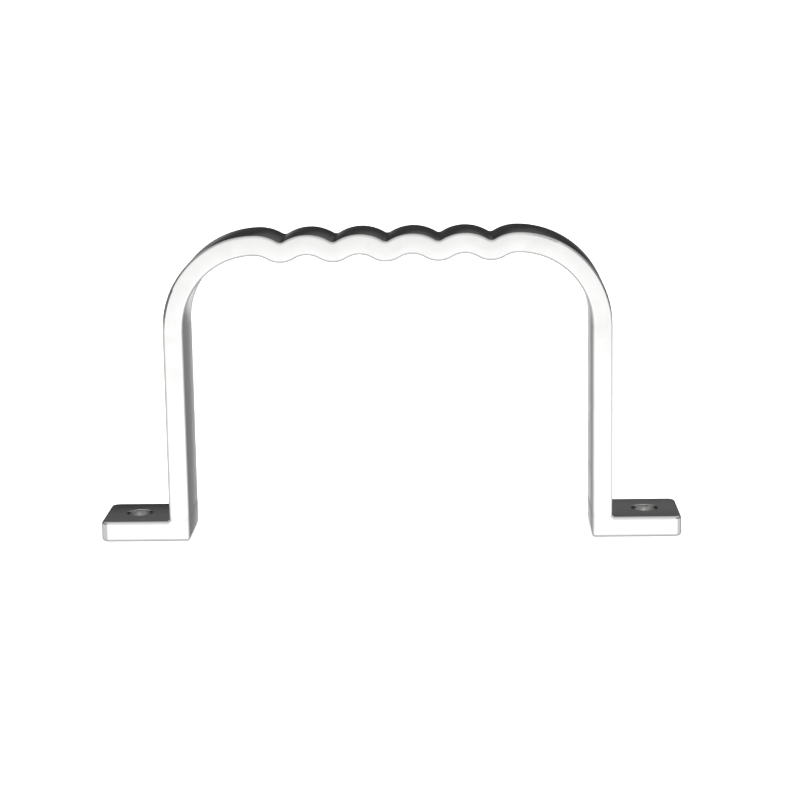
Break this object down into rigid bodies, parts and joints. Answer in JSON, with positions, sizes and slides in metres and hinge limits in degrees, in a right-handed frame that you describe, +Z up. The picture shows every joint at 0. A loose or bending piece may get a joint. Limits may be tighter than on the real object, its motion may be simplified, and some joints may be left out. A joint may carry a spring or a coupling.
{
  "type": "grab rail",
  "caption": "Short grab rail: a polished flat bar with a waved finger grip, bent down into two legs and welded to outward feet with one bolt hole each.",
  "frame": {"origin": "on the surface that the rail is bolted to, under the middle of the rail and midway between its front and back edges", "axes": "+X along the rail to the right, +Y from the front edge of the bar to its back edge, +Z up from the feet to the grip"},
  "size_m": [0.2302, 0.032, 0.1215],
  "materials": {
    "polished_bar": "polished stainless steel, faint lines along the bar",
    "polished_foot": "polished stainless steel",
    "dressed_weld": "weld metal ground flush and polished"
  },
  "bodies": {
    "root": {"grip_bar": "polished_bar", "left_foot": "polished_foot", "right_foot": "polished_foot", "left_gap_side_weld": "dressed_weld", "left_foot_side_weld": "dressed_weld", "right_gap_side_weld": "dressed_weld", "right_foot_side_weld": "dressed_weld"}
  },
  "joints": []
}
